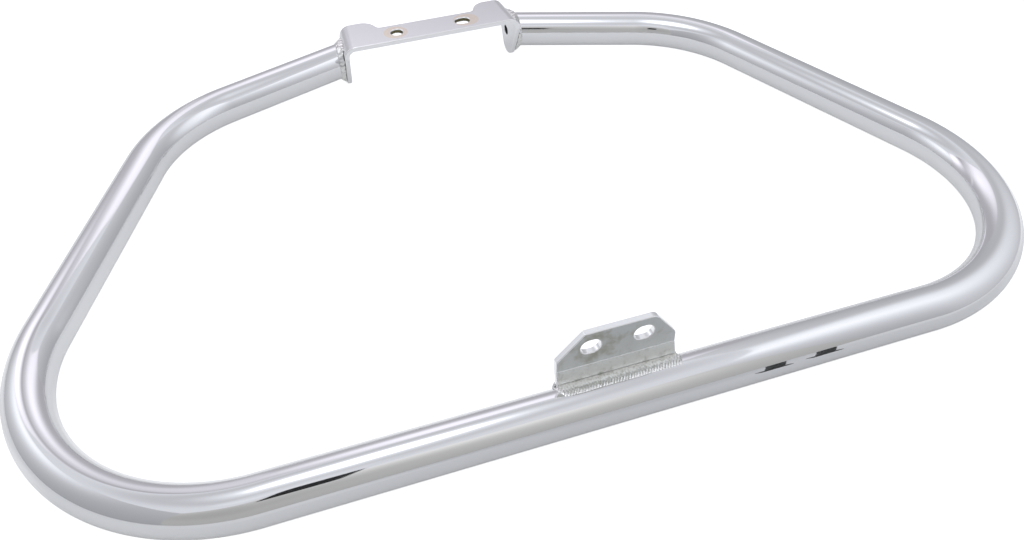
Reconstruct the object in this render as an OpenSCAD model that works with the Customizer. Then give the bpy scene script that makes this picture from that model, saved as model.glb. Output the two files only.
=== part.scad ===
/* [Tube] */
// Outside diameter of the tube
tube_od = 31.75; // [22:0.05:38]
// Wall thickness of the tube
tube_wall = 3; // [1.5:0.1:4]
// Centreline radius of every bend
bend_r = 127; // [90:1:140]

/* [Loop] */
// Distance between the points where the rail's line meets the two legs' lines
rail_w = 832; // [760:1:900]
// Distance between the points where the legs' lines meet the two arms' lines
shoulder_w = 495; // [460:1:540]
// Height of those upper points above the rail's centreline
shoulder_h = 399; // [370:1:440]
// Rise of each arm towards the middle, in degrees
arm_angle = 20; // [14:0.5:26]

/* [Saddle bracket] */
// Thickness of the bracket's plate
saddle_t = 4.5; // [3:0.1:6]
// Width across the outer faces of the ears
saddle_w = 166.4; // [150:0.1:190]
// Height of the bracket's top face above the tube's centreline
saddle_h = 24.5; // [23:0.5:30]
// Inner radius of the two folds
saddle_fold_r = 6; // [2:0.5:8]
// Depth of the strap between its lobes
web_d = 29.4; // [24:0.1:34]
// Depth of the strap at its lobes and folds
lobe_d = 43.8; // [38:0.1:50]
// Distance from the middle to the centre of each lobe's round corner
lobe_x = 62; // [56:0.5:66]
// Radius in the corner between the web and a lobe
lobe_fillet = 5; // [1:0.5:8]
// Setback of the ears' middle from the tube's end
ear_setback = 4.3; // [0:0.1:8]
// Turn of each ear's front edge away from the middle, in degrees
ear_toe = 4.5; // [0:0.5:8]
// Radius of each ear's tip
ear_tip_r = 10.8; // [8:0.1:13]
// Depth of the tip's centre below the tube's centreline
ear_tip_drop = 12; // [9:0.5:15]
// Distance between the two bolt holes
saddle_hole_gap = 63.5; // [56:0.5:68]
// Width of the bolt hole and of the slot
saddle_hole_d = 11.1; // [8:0.1:13]
// End-to-end length of the slot
saddle_slot_l = 14; // [13:0.5:18]
// Diameter of the vent hole in each ear
vent_d = 9; // [6:0.5:12]

/* [Lower tab] */
// Thickness of the tab's plate
tab_t = 4.5; // [3:0.1:6]
// Width of the tab
tab_w = 79.5; // [74:0.5:100]
// Distance of the upright plate's front face behind the tube's centreline
tab_front = 13.2; // [11:0.1:15]
// Height of the fold above the tube's centreline
tab_fold_z = 22.8; // [21:0.1:28]
// Lean of the tab's foot away from the vertical, in degrees
foot_angle = 21.5; // [12:0.5:26]
// Inner radius of the fold
tab_fold_r = 2; // [1:0.5:4]
// Height of the upright plate above the fold
tab_h = 27.2; // [26:0.1:34]
// Width of the clipped corner on the left
clip_w = 18; // [10:0.5:20]
// Width of the clipped corner on the right
clip_w_right = 14.5; // [10:0.5:20]
// Height of the clipped corners
clip_h = 19; // [10:0.5:19]
// Radius at both ends of the right clip
tab_corner_r = 6; // [2:0.5:8]
// Distance between the slots
slot_gap = 35; // [32:0.5:40]
// Height of the slots above the fold
slot_up = 15.2; // [14:0.1:16]
// Width of each slot
slot_d = 11.1; // [8:0.1:13]
// End-to-end length of each slot
slot_l = 13.4; // [13.2:0.1:16]

/* [Welds] */
// Reach of the ring welds along the tube
ring_leg_tube = 5; // [4:0.5:9]
// Reach of the ring welds over the ear
ring_leg_ear = 5; // [4:0.5:9]
// Extra reach of the ring welds at the front
ring_ahead = 2.5; // [0:0.5:3]
// Extra reach of the ring welds at the top
ring_rise = 0.5; // [0:0.5:2]
// Reach of the tab's front weld up the plate
front_leg = 1.6; // [1:0.1:3]
// Reach of the tab's front weld round the tube, in degrees
front_arc = 39; // [30:1:44]
// Height of the front bead's crown
front_crown = 2; // [1.6:0.1:2.6]
// Reach of the tab's rear weld up the plate
rear_leg = 5; // [3:0.1:6]
// Reach of the tab's rear weld round the tube, in degrees
rear_arc = 22; // [16:1:30]
// Height of the rear bead's crown
rear_crown = 1; // [0.6:0.1:1.6]
// Reach of the tab's welds past the plate's ends
bead_over = 2.5; // [0:0.5:5]

/* [Hidden] */
$fn = 96;

tube_r = tube_od / 2;
bore_r = tube_r - tube_wall;
// a reach that is longer than any piece it cuts
past = 60;

// the loop, from the middle of the rail to the end of the right arm
leg_angle = atan2(shoulder_h, (rail_w - shoulder_w) / 2);
corner_turn = 180 - leg_angle;
shoulder_turn = leg_angle - arm_angle;
corner_tan = bend_r * tan(corner_turn / 2);
shoulder_tan = bend_r * tan(shoulder_turn / 2);
leg_heading = 180 - leg_angle;
arm_heading = 180 - arm_angle;
rail_end = rail_w / 2 - corner_tan;
leg_start = [rail_w / 2, 0] + corner_tan * [cos(leg_heading), sin(leg_heading)];
leg_end = [shoulder_w / 2, shoulder_h] - shoulder_tan * [cos(leg_heading), sin(leg_heading)];
arm_start = [shoulder_w / 2, shoulder_h] + shoulder_tan * [cos(arm_heading), sin(arm_heading)];
shoulder_centre = leg_end + bend_r * [-sin(leg_heading), cos(leg_heading)];

// the saddle bracket stands on the arms' ends
ear_x = saddle_w / 2;
arm_end_y = shoulder_h + (shoulder_w / 2 - ear_x) * tan(arm_angle);
arm_l = norm([ear_x, arm_end_y] - arm_start);
ear_mid_y = arm_end_y - ear_setback;
strap_front = ear_mid_y - lobe_d / 2;
strap_back = strap_front + lobe_d;
web_back = strap_front + web_d;
lobe_r = lobe_d - web_d;
saddle_hole_y = strap_front + web_d / 2;
fold_out_r = saddle_fold_r + saddle_t;
fold_z = saddle_h - fold_out_r;
ear_tip_y = arm_end_y - 3;

// bends are drawn a hair thinner than what they join, and run a little way into it
hair = 0.02;
bend_lap = 0.6;
fold_lap = 3;

// the lower tab: the direction up its foot, the way to its front, and its two faces' start on the tube
foot_dir = [sin(foot_angle), cos(foot_angle)];
foot_side = [-cos(foot_angle), sin(foot_angle)];
tab_back = tab_front + tab_t;
slot_z = tab_fold_z + slot_up;
tab_top = tab_fold_z + tab_h;
fold_centre = [tab_front - tab_fold_r, tab_fold_z + tab_fold_r * tan(foot_angle / 2)];
front_off = foot_side * [tab_front, tab_fold_z];
rear_off = front_off - tab_t;
front_root = front_off * foot_side + sqrt(pow(tube_r, 2) - pow(front_off, 2)) * foot_dir;
rear_root = rear_off * foot_side + sqrt(pow(tube_r, 2) - pow(rear_off, 2)) * foot_dir;
front_root_angle = atan2(front_root[0], front_root[1]);
rear_root_angle = atan2(rear_root[0], rear_root[1]);

// place of the right fold's start line at a given depth
function fold_start_x(y) =
    ear_x - fold_out_r * cos(ear_toe)
    - (y - ear_mid_y + fold_out_r * sin(ear_toe)) * tan(ear_toe);
// point of a circle where a line from p touches it, on the side given by s
function touch(p, c, r, s) =
    let (v = p - c, a = atan2(v[1], v[0]) + s * acos(r / norm(v)))
    c + r * [cos(a), sin(a)];
// point on the tube at angle a back from its top, in a section across the rail
function on_tube(a) = tube_r * [sin(a), cos(a)];

// the origin is the centre of the two slots, on the back of the tab
module in_frame() {
    translate([0, -tab_back, -slot_z])
        children();
}

module both_sides() {
    children();
    mirror([1, 0, 0])
        children();
}

// a section across the rail, drawn in depth and height, run along the rail
module along_rail(l) {
    translate([-l / 2, 0, 0])
        rotate([90, 0, 90])
            linear_extrude(l)
                children();
}

module tube_section() {
    difference() {
        circle(tube_r);
        circle(bore_r);
    }
}

module straight_tube(start, heading, l) {
    translate([start[0], start[1], 0])
        rotate([0, 0, heading])
            rotate([90, 0, 90])
                linear_extrude(l)
                    children();
}

module bent_tube(centre, from, turn) {
    translate([centre[0], centre[1], 0])
        rotate([0, 0, from - bend_lap])
            rotate_extrude(angle = turn + 2 * bend_lap)
                translate([bend_r, 0])
                    difference() {
                        circle(tube_r - hair);
                        circle(bore_r + hair);
                    }
}

// the ear's own frame: its outer face at x = 0, its middle at y = 0
module at_ear() {
    translate([ear_x, ear_mid_y, 0])
        rotate([0, 0, ear_toe])
            children();
}

// an arm, cut off where it meets the ear's outer face
module arm() {
    difference() {
        straight_tube(arm_start, arm_heading, arm_l + tube_od)
            children();
        at_ear()
            translate([-past, -past, -past])
                cube([past, 2 * past, 2 * past]);
    }
}

module half_tube() {
    bent_tube([rail_end, bend_r], -90, corner_turn);
    straight_tube(leg_start, leg_heading, norm(leg_end - leg_start))
        tube_section();
    bent_tube(shoulder_centre, leg_heading - 90, shoulder_turn);
    arm()
        tube_section();
}

module guard_tube() {
    color("silver")
        in_frame() {
            straight_tube([-rail_end, 0], 0, 2 * rail_end)
                tube_section();
            both_sides()
                half_tube();
        }
}

// plan of the flat strap: a narrow web, and a lobe with a round corner at each end
module strap_plan() {
    both_sides() {
        polygon([
            [0, strap_front], [fold_start_x(strap_front), strap_front],
            [fold_start_x(web_back), web_back], [0, web_back]
        ]);
        polygon([
            [lobe_x, strap_front], [fold_start_x(strap_front), strap_front],
            [fold_start_x(strap_back), strap_back], [lobe_x, strap_back]
        ]);
        translate([lobe_x, web_back])
            circle(lobe_r);
        difference() {
            fillet_x = lobe_x - sqrt(pow(lobe_r + lobe_fillet, 2) - pow(lobe_fillet, 2));
            polygon([[fillet_x, web_back], [lobe_x, web_back], [fillet_x, web_back + lobe_fillet]]);
            translate([fillet_x, web_back + lobe_fillet])
                circle(lobe_fillet + hair);
        }
    }
}

// section of a fold from angle from, with its inner radius r in a plate of thickness t
module fold_ring(r, t, from, turn) {
    a = from - fold_lap;
    b = from + turn + fold_lap;
    intersection() {
        difference() {
            circle(r + t - hair);
            circle(r + hair);
        }
        polygon([[0, 0], past * [cos(a), sin(a)], 2 * past * [cos((a + b) / 2), sin((a + b) / 2)], past * [cos(b), sin(b)]]);
    }
}

// a section seen along the right ear's fold, run along that fold
module along_fold() {
    at_ear()
        translate([0, past, 0])
            rotate([90, 0, 0])
                linear_extrude(2 * past)
                    children();
}

// the ear seen from the side, in depth and height: below the fold it tapers to a round tip
module ear_side(inset = 0) {
    tip = [ear_tip_y, -ear_tip_drop];
    tip_r = ear_tip_r - inset;
    front = [strap_front + inset, fold_z - 1];
    back = [strap_back - inset, fold_z - 1];
    polygon([
        [strap_front + inset, saddle_h + 1], front, touch(front, tip, tip_r, 1), tip,
        touch(back, tip, tip_r, -1), back, [strap_back - inset, saddle_h + 1]
    ]);
    translate(tip)
        circle(tip_r);
}

module whole_ear() {
    intersection() {
        union() {
            along_fold()
                translate([-saddle_t, -past])
                    square([saddle_t, past + fold_z]);
            along_fold()
                translate([-fold_out_r, fold_z])
                    fold_ring(saddle_fold_r, saddle_t, 0, 90);
        }
        translate([ear_x - past / 2, 0, 0])
            rotate([90, 0, 90])
                linear_extrude(past)
                    ear_side();
    }
}

module folded_ear() {
    difference() {
        whole_ear();
        at_ear()
            translate([-saddle_t - 1, ear_setback, 0])
                rotate([0, 90, 0])
                    cylinder(d = vent_d, h = saddle_t + 2);
    }
}

module slot_cut(d, l, h) {
    for (s = [-1, 1])
        translate([s * (l - d) / 2, 0, 0])
            cylinder(d = d, h = h);
    translate([-(l - d) / 2, hair / 2 - d / 2, 0])
        cube([l - d, d - hair, h]);
}

module saddle_bracket() {
    color("gainsboro")
        in_frame() {
            difference() {
                translate([0, 0, saddle_h - saddle_t])
                    linear_extrude(saddle_t)
                        strap_plan();
                translate([-saddle_hole_gap / 2, saddle_hole_y, saddle_h - saddle_t - 1])
                    cylinder(d = saddle_hole_d, h = saddle_t + 2);
                translate([saddle_hole_gap / 2, saddle_hole_y, saddle_h - saddle_t - 1])
                    slot_cut(saddle_hole_d, saddle_slot_l, saddle_t + 2);
            }
            both_sides()
                folded_ear();
        }
}

// the tab's foot seen along the rail, in depth and height
module foot_section() {
    translate(fold_centre)
        rotate(-foot_angle)
            translate([tab_fold_r, -fold_centre * foot_dir])
                square([tab_t, fold_centre * foot_dir]);
}

// what a round corner c between points a and b takes off
module corner_cut(a, c, b, r) {
    u = (a - c) / norm(a - c);
    v = (b - c) / norm(b - c);
    half = acos(u * v) / 2;
    middle = (u + v) / norm(u + v);
    difference() {
        polygon([c + r / tan(half) * u, c - middle, c + r / tan(half) * v]);
        translate(c + r / sin(half) * middle)
            circle(r + hair);
    }
}

// the tab seen from the front, in width and height: its two top corners are clipped
module tab_face() {
    w = tab_w / 2;
    side = [w, tab_top - clip_h];
    right = [w - clip_w_right, tab_top];
    left = [clip_w - w, tab_top];
    difference() {
        polygon([[-w, -past], [w, -past], side, right, left, [-w, tab_top - clip_h]]);
        corner_cut(left, right, side, tab_corner_r);
        corner_cut(right, side, [w, -past], tab_corner_r);
    }
}

module lower_tab() {
    color("lightgray")
        in_frame()
            difference() {
                intersection() {
                    union() {
                        along_rail(tab_w + 2)
                            foot_section();
                        along_rail(tab_w + 2)
                            translate(fold_centre)
                                fold_ring(tab_fold_r, tab_t, -foot_angle, foot_angle);
                        along_rail(tab_w + 2)
                            translate([tab_front, fold_centre[1]])
                                square([tab_t, tab_top + 1 - fold_centre[1]]);
                    }
                    translate([0, tab_back + past / 2, 0])
                        rotate([90, 0, 0])
                            linear_extrude(past)
                                tab_face();
                }
                along_rail(tab_w + 4)
                    circle(tube_r);
                for (s = [-1, 1])
                    translate([s * slot_gap / 2, tab_back + 1, slot_z])
                        rotate([90, 0, 0])
                            slot_cut(slot_d, slot_l, tab_t + 2);
            }
}

// a bead's section: a circle through its two toes, less the tube and the plate
module bead(a, b, rise) {
    chord = norm(b - a);
    r = (pow(chord / 2, 2) + pow(rise, 2)) / (2 * rise);
    along_rail(tab_w + 2 * bead_over)
        difference() {
            intersection() {
                translate((a + b) / 2)
                    rotate(atan2(b[1] - a[1], b[0] - a[0]))
                        translate([0, rise - r])
                            circle(r);
                rotate(-foot_angle)
                    children();
            }
            circle(tube_r);
            foot_section();
        }
}

module tab_weld_front() {
    toe = on_tube(front_root_angle - front_arc);
    color("darkgray")
        in_frame()
            bead(toe, front_root + front_leg * foot_dir, front_crown)
                translate([-past, 0])
                    square([past - front_off + tab_t / 2, past]);
}

module tab_weld_rear() {
    toe = on_tube(rear_root_angle + rear_arc);
    color("darkgray")
        in_frame()
            bead(rear_root + rear_leg * foot_dir, toe, rear_crown)
                translate([-rear_off - tab_t / 2, 0])
                    square(past);
}

// the right ring weld: it keeps to the ear's outline, and wraps its edge behind the tube
module ring_weld() {
    fall = ring_leg_ear / ring_leg_tube;
    wrap = 1.5;
    r = tube_r + ring_leg_ear;
    difference() {
        intersection() {
            at_ear()
                translate([-wrap, ear_setback - ring_ahead, ring_rise])
                    rotate([0, 90, 0])
                        cylinder(r1 = r + wrap * fall, r2 = r - 2 * ring_leg_ear, h = wrap + 2 * ring_leg_tube);
            translate([ear_x - past / 2, 0, 0])
                rotate([90, 0, 90])
                    linear_extrude(past) {
                        intersection() {
                            ear_side(2 * hair);
                            translate([0, -past])
                                square([2 * shoulder_h, past + tube_r + 2.5]);
                        }
                        translate([arm_end_y, 0])
                            circle(tube_r + 2);
                    }
        }
        arm()
            circle(tube_r);
        whole_ear();
    }
}

module saddle_weld_right() {
    color("darkgray")
        in_frame()
            ring_weld();
}

module saddle_weld_left() {
    color("darkgray")
        in_frame()
            mirror([1, 0, 0])
                ring_weld();
}

guard_tube();
saddle_bracket();
lower_tab();
saddle_weld_left();
saddle_weld_right();
tab_weld_front();
tab_weld_rear();
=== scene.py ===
"""Looks for a set of chromed motorcycle crash bars lying on a white studio floor.

Every length in the classes is in millimetres, in the loop's own plane: x across the motorcycle,
y from the straight rail towards the saddle bracket, z up. place() turns such a point into the part's
frame, in metres, whose origin is midway between the slots on the back of the lower tab.
"""

from __future__ import annotations

import logging
import math
from collections.abc import Callable
from dataclasses import dataclass
from enum import Enum

import bmesh
import bpy
from mathutils import Matrix, Vector, noise


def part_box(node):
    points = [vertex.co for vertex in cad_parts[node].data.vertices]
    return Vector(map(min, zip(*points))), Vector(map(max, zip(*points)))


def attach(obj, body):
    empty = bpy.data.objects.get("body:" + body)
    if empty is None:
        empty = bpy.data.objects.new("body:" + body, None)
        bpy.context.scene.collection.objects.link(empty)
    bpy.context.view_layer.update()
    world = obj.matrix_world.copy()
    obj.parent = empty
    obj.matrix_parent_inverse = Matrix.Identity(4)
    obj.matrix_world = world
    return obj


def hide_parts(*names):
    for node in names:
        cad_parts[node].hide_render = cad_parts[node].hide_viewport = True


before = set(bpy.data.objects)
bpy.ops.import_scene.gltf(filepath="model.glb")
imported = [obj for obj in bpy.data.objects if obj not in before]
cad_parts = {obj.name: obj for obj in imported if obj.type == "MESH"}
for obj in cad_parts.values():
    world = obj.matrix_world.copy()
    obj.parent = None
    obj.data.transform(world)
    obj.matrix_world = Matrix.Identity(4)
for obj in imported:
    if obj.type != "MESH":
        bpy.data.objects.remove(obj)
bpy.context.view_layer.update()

LOG = logging.getLogger("crash_bars")
MM = 0.001
TAB_BACK = 17.7
SLOT_HEIGHT = 38.0
MERGE = 0.00001
QUARTER = math.pi / 2

Piece = bpy.types.Object
Material = bpy.types.Material
Socket = bpy.types.NodeSocket
Flat = tuple[float, float]
Spot = tuple[float, float, float]
Hole = tuple[float, float, float, float]


class Slot(Enum):
    """Material slots of the record."""

    TUBE = "chromed_tube"
    PLATE = "chromed_plate"
    WELD = "chromed_weld"


def place(x: float, y: float, z: float) -> Vector:
    """Turn a point of the loop, in millimetres, into the part's frame.

    Args:
        x: Distance across the motorcycle.
        y: Distance from the rail's centreline.
        z: Height above the tube's centreline.

    Returns:
        The point in metres.
    """
    return Vector((x * MM, (y - TAB_BACK) * MM, (z - SLOT_HEIGHT) * MM))


def linear(code: str) -> tuple[float, float, float, float]:
    """Turn an sRGB hex value into linear colour.

    Args:
        code: Six hex digits after a leading mark.

    Returns:
        Red, green, blue and an alpha of 1.
    """
    out = []
    for i in (1, 3, 5):
        c = int(code[i : i + 2], 16) / 255
        out.append(c / 12.92 if c <= 0.04045 else ((c + 0.055) / 1.055) ** 2.4)
    return (out[0], out[1], out[2], 1.0)


class Nodes:
    """A node tree being built, with a method for each sort of node that the looks share.

    Every input is either a value or the output socket that feeds it.
    """

    MEASURES = ("DISTANCE", "LENGTH", "DOT_PRODUCT")

    def __init__(self, tree: bpy.types.NodeTree) -> None:
        """Start on a tree.

        Args:
            tree: The tree; what it holds is cleared.
        """
        tree.nodes.clear()
        self.tree = tree

    def add(self, kind: str, inputs: dict | None = None, **settings: object) -> bpy.types.Node:
        """Add a node.

        Args:
            kind: The node's type name, without its common start.
            inputs: The inputs that aren't left as they are, by name or number.
            settings: Properties of the node itself.

        Returns:
            The new node.
        """
        node = self.tree.nodes.new("ShaderNode" + kind)
        for key, value in settings.items():
            setattr(node, key, value)
        for key, value in (inputs or {}).items():
            if isinstance(value, Socket):
                self.tree.links.new(value, node.inputs[key])
            else:
                node.inputs[key].default_value = value
        return node

    def where(self) -> Socket:
        """Give a surface point's place in the part's frame, in metres."""
        return self.add("TexCoord").outputs["Object"]

    def where_in_loop(self) -> Socket:
        """Give a surface point's place in the loop, in metres."""
        return self.vector("ADD", self.where(), tuple(-place(0, 0, 0)))

    def height(self, where: Socket) -> Socket:
        """Give the z of a place."""
        return self.add("SeparateXYZ", {0: where}).outputs["Z"]

    def math(self, operation: str, *inputs: object) -> Socket:
        """Calculate with numbers.

        Args:
            operation: The sum's name.
            inputs: Its numbers in order.

        Returns:
            The result.
        """
        return self.add("Math", dict(enumerate(inputs)), operation=operation).outputs[0]

    def vector(self, operation: str, *inputs: object) -> Socket:
        """Calculate with vectors.

        Args:
            operation: The sum's name.
            inputs: Its vectors in order.

        Returns:
            The result: a number for a measure, and a vector for the rest.
        """
        node = self.add("VectorMath", dict(enumerate(inputs)), operation=operation)
        return node.outputs["Value" if operation in self.MEASURES else "Vector"]

    def stretch(self, where: Socket, scale: Spot) -> Socket:
        """Scale a place, so that a noise read there is drawn out."""
        return self.add("Mapping", {"Vector": where, "Scale": scale}).outputs["Vector"]

    def noise(
        self, where: Socket, scale: float, detail: float = 2.0, rough: float = 0.5, warp: float = 0.0
    ) -> Socket:
        """Read cloudy noise.

        Args:
            where: The place.
            scale: Waves per metre.
            detail: Octaves.
            rough: Weight of each finer octave.
            warp: How much the noise distorts itself.

        Returns:
            A number round 0.5.
        """
        inputs = {"Vector": where, "Scale": scale, "Detail": detail, "Roughness": rough, "Distortion": warp}
        return self.add("TexNoise", inputs).outputs["Fac"]

    def remap(self, value: Socket, span: Flat, to: Flat = (0.0, 1.0), soft: bool = False) -> Socket:
        """Carry a number from one span to another, and hold it there.

        Args:
            value: The number.
            span: Where it comes from.
            to: Where it goes.
            soft: Whether it eases in and out.

        Returns:
            The new number.
        """
        inputs = {"Value": value, "From Min": span[0], "From Max": span[1], "To Min": to[0], "To Max": to[1]}
        easing = "SMOOTHSTEP" if soft else "LINEAR"
        return self.add("MapRange", inputs, interpolation_type=easing).outputs["Result"]

    def mix(self, share: Socket, first: str | Socket, second: str) -> Socket:
        """Mix two colours.

        Args:
            share: How much of the second.
            first: A hex value, or a colour's socket.
            second: A hex value.

        Returns:
            The mixed colour.
        """
        base = linear(first) if isinstance(first, str) else first
        return self.add("MixRGB", {"Fac": share, "Color1": base, "Color2": linear(second)}).outputs["Color"]

    def bump(self, height: Socket, strength: float, depth: float, under: Socket | None = None) -> Socket:
        """Tilt the surface by a height.

        Args:
            height: The height, from 0 to 1.
            strength: How much of the tilt is used.
            depth: Metres that a height of 1 stands for.
            under: A tilt that this one is added to.

        Returns:
            The tilted normal.
        """
        inputs = {"Height": height, "Strength": strength, "Distance": depth}
        if under is not None:
            inputs["Normal"] = under
        return self.add("Bump", inputs).outputs["Normal"]


def new_material(name: str) -> tuple[Material, Nodes]:
    """Make an empty node material.

    Args:
        name: The material's name.

    Returns:
        The material and its nodes.
    """
    material = bpy.data.materials.new(name)
    material.use_nodes = True
    return material, Nodes(material.node_tree)


def deselect() -> None:
    """Leave edit mode and deselect everything."""
    if bpy.context.object and bpy.context.object.mode != "OBJECT":
        bpy.ops.object.mode_set(mode="OBJECT")
    bpy.ops.object.select_all(action="DESELECT")


def make_active(piece: Piece) -> None:
    """Select one object alone and make it active."""
    deselect()
    piece.select_set(True)
    bpy.context.view_layer.objects.active = piece


def edit_all(piece: Piece) -> None:
    """Open a piece for editing with all of it selected."""
    make_active(piece)
    bpy.ops.object.mode_set(mode="EDIT")
    bpy.ops.mesh.select_all(action="SELECT")


def apply_modifier(piece: Piece, kind: str, **settings: object) -> None:
    """Add a modifier, set it and apply it.

    Args:
        piece: The object.
        kind: The modifier's type.
        settings: The modifier's properties.
    """
    make_active(piece)
    modifier = piece.modifiers.new(kind.title(), kind)
    for key, value in settings.items():
        setattr(modifier, key, value)
    bpy.ops.object.modifier_apply(modifier=modifier.name)


def linked(name: str, mesh: bpy.types.Mesh) -> Piece:
    """Put a mesh into the scene as an object.

    Args:
        name: The object's name.
        mesh: The mesh.

    Returns:
        The object.
    """
    piece = bpy.data.objects.new(name, mesh)
    bpy.context.scene.collection.objects.link(piece)
    return piece


def solid(kind: str, name: str, size: float = 1.0) -> Piece:
    """Add a cube or a plane round the origin.

    Args:
        kind: cube or plane.
        name: The object's name.
        size: Its side in metres.

    Returns:
        The object.
    """
    deselect()
    getattr(bpy.ops.mesh, f"primitive_{kind}_add")(size=size, location=(0, 0, 0))
    piece = bpy.context.object
    piece.name = name
    return piece


def settle(piece: Piece, name: str, node: str, materials: list[Material]) -> None:
    """Finish a piece: its name, place, materials and what it stands for.

    Its points are held inside the box of the node that it replaces.

    Args:
        piece: The object.
        name: Its new name.
        node: The CAD node that it replaces.
        materials: Materials in slot order.
    """
    make_active(piece)
    bpy.ops.object.transform_apply(location=True, rotation=True, scale=True)
    low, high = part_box(node)
    for vert in piece.data.vertices:
        vert.co = Vector(min(max(c, a), b) for c, a, b in zip(vert.co, low, high))
    piece.name = name
    piece.data.name = name
    for k, material in enumerate(materials):
        if k < len(piece.data.materials):
            piece.data.materials[k] = material
        else:
            piece.data.materials.append(material)
    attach(piece, "root")
    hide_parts(node)
    LOG.info("%s: %d faces", name, len(piece.data.polygons))


def arc(centre: Flat | Vector, radius: float, start: float, end: float, steps: int) -> list[Flat]:
    """List the points of an arc.

    Args:
        centre: The arc's centre.
        radius: Its radius.
        start: Angle of the first point, in radians.
        end: Angle of the last.
        steps: Number of chords.

    Returns:
        The points, with both ends.
    """
    turns = [start + (end - start) * k / steps for k in range(steps + 1)]
    return [(centre[0] + radius * math.cos(a), centre[1] + radius * math.sin(a)) for a in turns]


def rounded(points: list[Flat], radii: list[float], step: float = 8.0) -> list[Flat]:
    """Round the corners of a closed outline.

    Args:
        points: Its corners in order.
        radii: A radius for each corner.
        step: Degrees between the points of an arc.

    Returns:
        The outline's points.
    """
    out: list[Flat] = []
    count = len(points)
    for k in range(count):
        corner = Vector(points[k])
        before = (Vector(points[k - 1]) - corner).normalized()
        after = (Vector(points[(k + 1) % count]) - corner).normalized()
        if radii[k] <= 0:
            out.append((corner.x, corner.y))
            continue
        half = before.angle(after) / 2
        centre = corner + (before + after).normalized() * (radii[k] / math.sin(half))
        start = corner + before * (radii[k] / math.tan(half)) - centre
        end = corner + after * (radii[k] / math.tan(half)) - centre
        turn = math.atan2(start.cross(end), start.dot(end))
        steps = max(2, round(abs(math.degrees(turn)) / step))
        for j in range(steps + 1):
            spoke = Matrix.Rotation(turn * j / steps, 2) @ start
            out.append((centre.x + spoke.x, centre.y + spoke.y))
    return out


def tangent(point: Flat, centre: Flat, radius: float, side: int) -> float:
    """Find where a line from a point touches a circle.

    Args:
        point: The point.
        centre: The circle's centre.
        radius: Its radius.
        side: 1 or -1, for one of the two lines.

    Returns:
        The angle of the touching point, in radians.
    """
    dx, dy = point[0] - centre[0], point[1] - centre[1]
    return math.atan2(dy, dx) + side * math.acos(radius / math.hypot(dx, dy))


def plate_blank(name: str, outline: list[Flat], holes: list[Hole], thickness: float, edge: float) -> Piece:
    """Cut a flat blank with round-edged holes from plate; its face lies at z = 0.

    Args:
        name: A name for the object.
        outline: The blank's outline.
        holes: Centre x, centre y, radius and straight length of each hole.
        thickness: The plate's thickness.
        edge: Radius on all its edges.

    Returns:
        The blank, in millimetres.
    """
    deselect()
    mesh = bpy.data.meshes.new(name)
    count = len(outline)
    rim = [(k, (k + 1) % count) for k in range(count)]
    mesh.from_pydata([(x, y, 0) for x, y in outline], rim, [])
    blank = linked(name, mesh)
    make_active(blank)
    bpy.ops.object.mode_set(mode="EDIT")
    for x, y, radius, straight in holes:
        bpy.ops.mesh.select_all(action="DESELECT")
        bpy.ops.mesh.primitive_circle_add(vertices=64, radius=radius, location=(x, y, 0))
        if straight > 0:
            edit = bmesh.from_edit_mesh(mesh)
            for vert in edit.verts:
                if vert.select:
                    vert.co.x += math.copysign(straight / 2, vert.co.x - x)
            bmesh.update_edit_mesh(mesh)
    bpy.ops.mesh.select_all(action="SELECT")
    bpy.ops.mesh.fill(use_beauty=True)
    bpy.ops.mesh.normals_make_consistent(inside=False)
    bpy.ops.mesh.dissolve_limited(angle_limit=0.01)
    bpy.ops.object.mode_set(mode="OBJECT")
    if mesh.polygons[0].normal.z < 0:
        mesh.flip_normals()
    apply_modifier(blank, "SOLIDIFY", thickness=thickness, offset=-1, use_even_offset=True)
    sharp = {"limit_method": "ANGLE", "angle_limit": math.radians(50), "use_clamp_overlap": False}
    apply_modifier(blank, "BEVEL", width=edge, segments=4, **sharp)
    return blank


def cut_across(piece: Piece, point: Vector, normal: Vector) -> None:
    """Cut a piece's faces along a plane and keep both sides.

    Args:
        piece: The object.
        point: A point of the plane.
        normal: Its normal.
    """
    edit_all(piece)
    bpy.ops.mesh.bisect(plane_co=point, plane_no=normal)
    bpy.ops.object.mode_set(mode="OBJECT")


def fold_up(plate: Piece, folded: Callable[[Vector], Vector]) -> None:
    """Fold a blank and shade it smooth, with its flat faces kept flat.

    Args:
        plate: The blank, in millimetres.
        folded: Carries a point of the blank to its place in the loop.
    """
    for vert in plate.data.vertices:
        vert.co = place(*folded(vert.co))
    make_active(plate)
    bpy.ops.object.shade_smooth_by_angle(angle=math.radians(32.0))
    apply_modifier(plate, "WEIGHTED_NORMAL", weight=80, keep_sharp=True)


@dataclass(frozen=True)
class Finish:
    """A plain surface: its name, its colour, and its roughness where it is smoothest."""

    name: str
    colour: str
    roughness: float
    metallic: float = 1.0

    def surface(self, nodes: Nodes, where: Socket) -> dict:
        """Give what sets this surface apart from an even one.

        Args:
            nodes: The material's nodes.
            where: A point's place.

        Returns:
            Inputs of its shader.
        """
        return {}

    def material(self) -> Material:
        """Build the node material."""
        material, nodes = new_material(self.name)
        even = {"Base Color": linear(self.colour), "Roughness": self.roughness, "Metallic": self.metallic}
        shader = nodes.add("BsdfPrincipled", even | self.surface(nodes, nodes.where()))
        nodes.add("OutputMaterial", {"Surface": shader.outputs["BSDF"]})
        return material


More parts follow.
